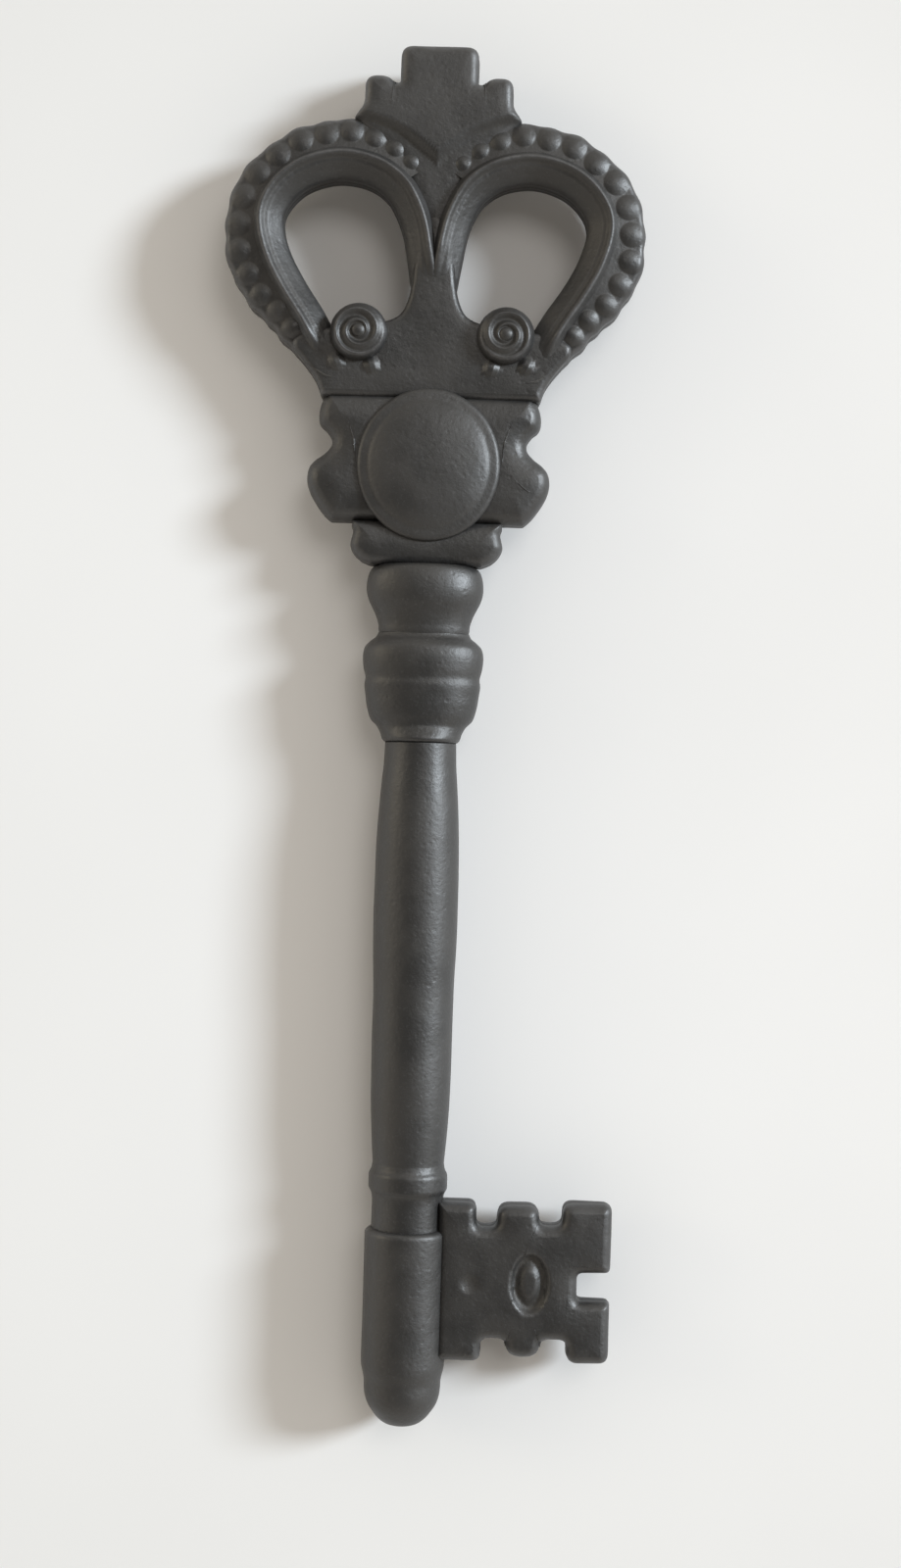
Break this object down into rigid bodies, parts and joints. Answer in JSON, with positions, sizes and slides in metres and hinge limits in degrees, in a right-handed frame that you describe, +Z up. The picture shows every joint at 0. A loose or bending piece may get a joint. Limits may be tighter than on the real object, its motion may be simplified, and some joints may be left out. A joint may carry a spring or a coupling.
{
  "type": "decorative skeleton key",
  "caption": "Ornamental cast-iron skeleton key with a heart-shaped beaded bow, crown finial, medallion collar, turned knops, long shank and lobed bit",
  "frame": {"origin": "On the table under the middle of the key's length and the axis of its shank", "axes": "+X toward the bit, +Y toward the crown, +Z up from the table, square to the flat of the key"},
  "size_m": [0.0806, 0.264, 0.016],
  "materials": {
    "black_iron": "satin black, fine casting grain",
    "worn_iron": "satin black, slightly polished by handling"
  },
  "bodies": {
    "root": {"barrel_end": "black_iron", "bit_plate": "black_iron", "shank": "black_iron", "lower_knop": "black_iron", "upper_knop": "black_iron", "collar_foot": "black_iron", "collar_plate": "black_iron", "front_medallion": "worn_iron", "back_medallion": "black_iron", "bow_base": "black_iron", "bow_arm_right": "worn_iron", "bow_arm_left": "worn_iron", "beaded_rim_right": "black_iron", "beaded_rim_left": "black_iron", "scroll_right": "black_iron", "scroll_left": "black_iron", "crown": "worn_iron"}
  },
  "joints": []
}
